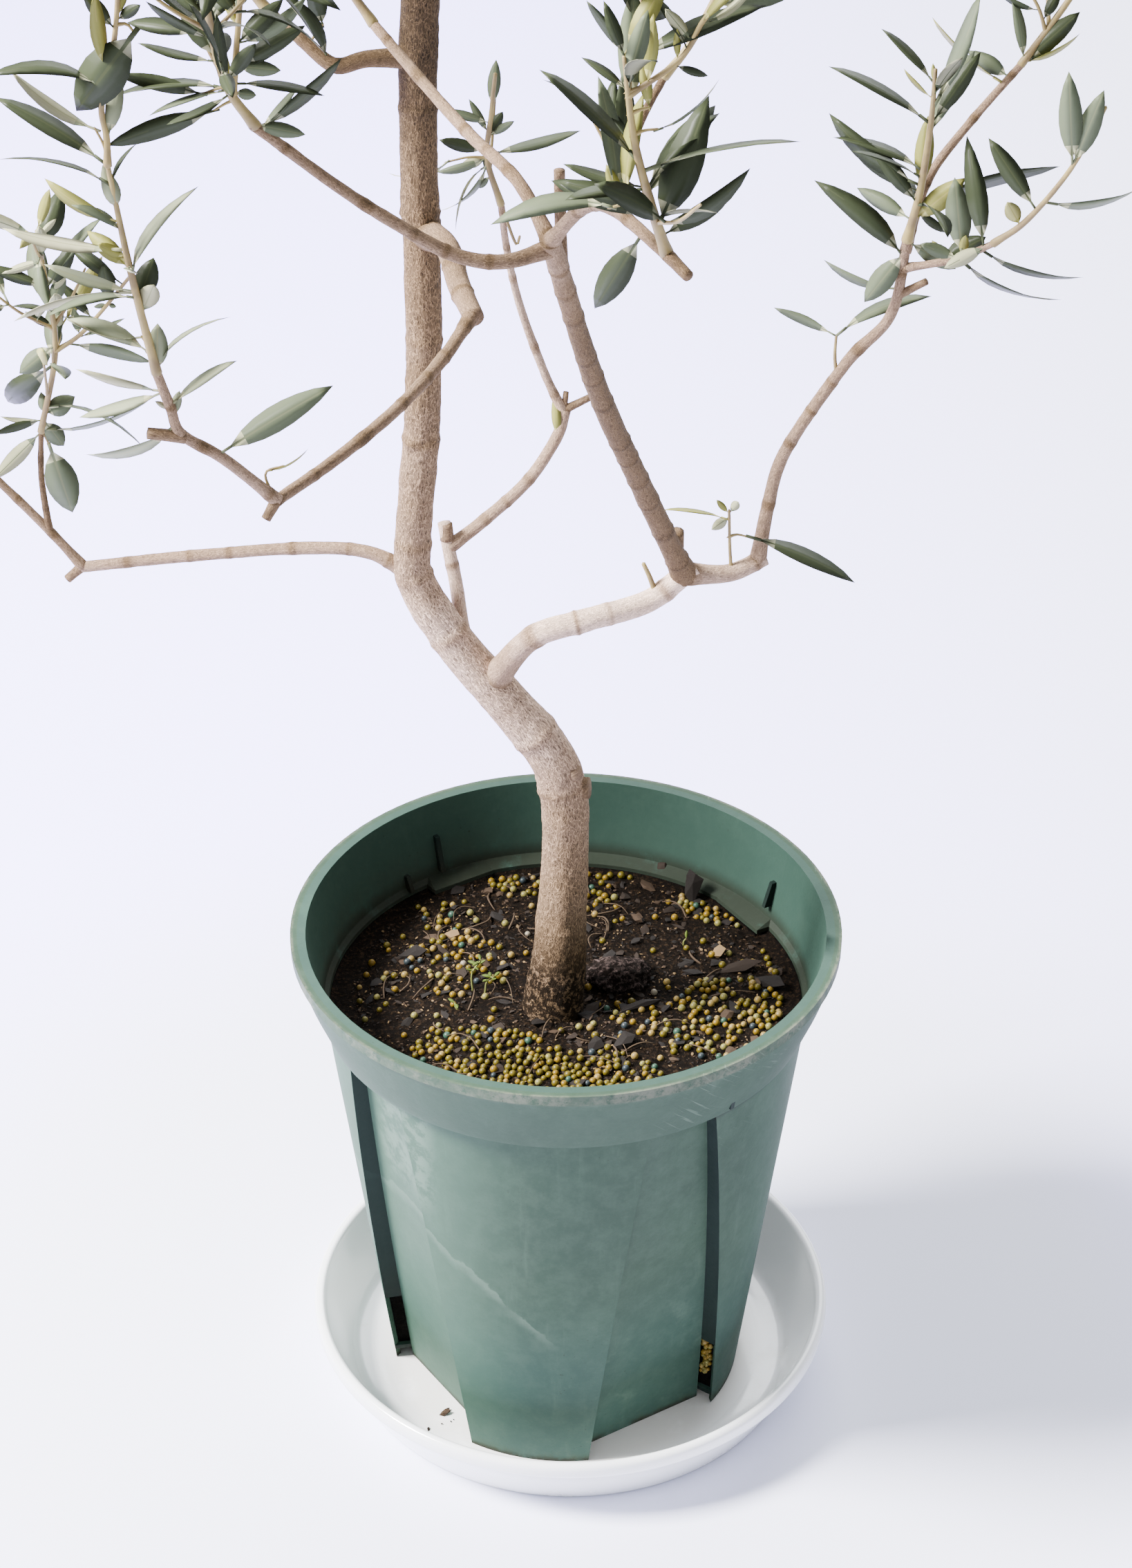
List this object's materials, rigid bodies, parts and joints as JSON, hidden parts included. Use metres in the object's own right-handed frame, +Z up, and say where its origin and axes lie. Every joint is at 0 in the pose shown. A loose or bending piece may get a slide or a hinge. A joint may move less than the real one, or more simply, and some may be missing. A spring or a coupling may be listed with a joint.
{
  "type": "potted olive tree",
  "caption": "Young olive tree with a leaning kinked trunk, long open boughs and airy leaf masses, in a slit-sided plastic nursery pot of soil on a round saucer.",
  "frame": {"origin": "on the floor under the middle of the pot, on the saucer's flat underside", "axes": "+Z up along the plant, -Y towards the viewer of the picture, +X to the viewer's right"},
  "size_m": [0.7441, 0.7317, 1.4427],
  "materials": {
    "glazed": "smooth white, glossy",
    "plastic": "weathered grey-green moulded plastic with chalky scuffs",
    "soil": "dark bark-chip potting mix with tan feed beads",
    "bark": "pale taupe-grey young bark with fine ridges",
    "leaf": "grey-green leathery leaves, silvery below"
  },
  "bodies": {
    "root": {"saucer": "glazed", "pot": "plastic", "soil": "soil", "trunk": "bark", "bough_right": "bark", "bough_right_front": "bark", "bough_right_low": "bark", "bough_right_rise": "bark", "bough_right_side": "bark", "bough_right_top": "bark", "bough_left": "bark", "bough_left_rise": "bark", "bough_left_shoot": "bark", "bough_back_foot": "bark", "bough_back": "bark", "bough_back_rise": "bark", "bough_knee": "bark", "bough_knee_front": "bark", "bough_knee_left": "bark", "bough_left_high": "bark", "bough_front_left": "bark", "bough_front_mid": "bark", "bough_front_right": "bark", "bough_front_right_rise": "bark", "bough_high_right": "bark", "bough_high_back": "bark", "bough_high_back_left": "bark", "bough_high_front": "bark", "bough_high_left": "bark", "bough_high_back_right": "bark", "bough_top_right": "bark", "bough_top_left": "bark", "bough_top_front": "bark", "bough_top_back": "bark", "foliage_tip": "leaf", "foliage_left_low": "leaf", "foliage_left_far": "leaf", "foliage_front_left": "leaf", "foliage_knee_left": "leaf", "foliage_left_high": "leaf", "foliage_front_mid": "leaf", "foliage_back": "leaf", "foliage_front_right": "leaf", "foliage_front_right_rise": "leaf", "foliage_right": "leaf", "foliage_right_side": "leaf", "foliage_right_top": "leaf", "foliage_high_right": "leaf", "foliage_high_back": "leaf", "foliage_high_back_left": "leaf", "foliage_high_front": "leaf", "foliage_high_left": "leaf", "foliage_high_back_right": "leaf", "foliage_top_right": "leaf", "foliage_top_left": "leaf", "foliage_top_front": "leaf", "foliage_top_back": "leaf"}
  },
  "joints": []
}
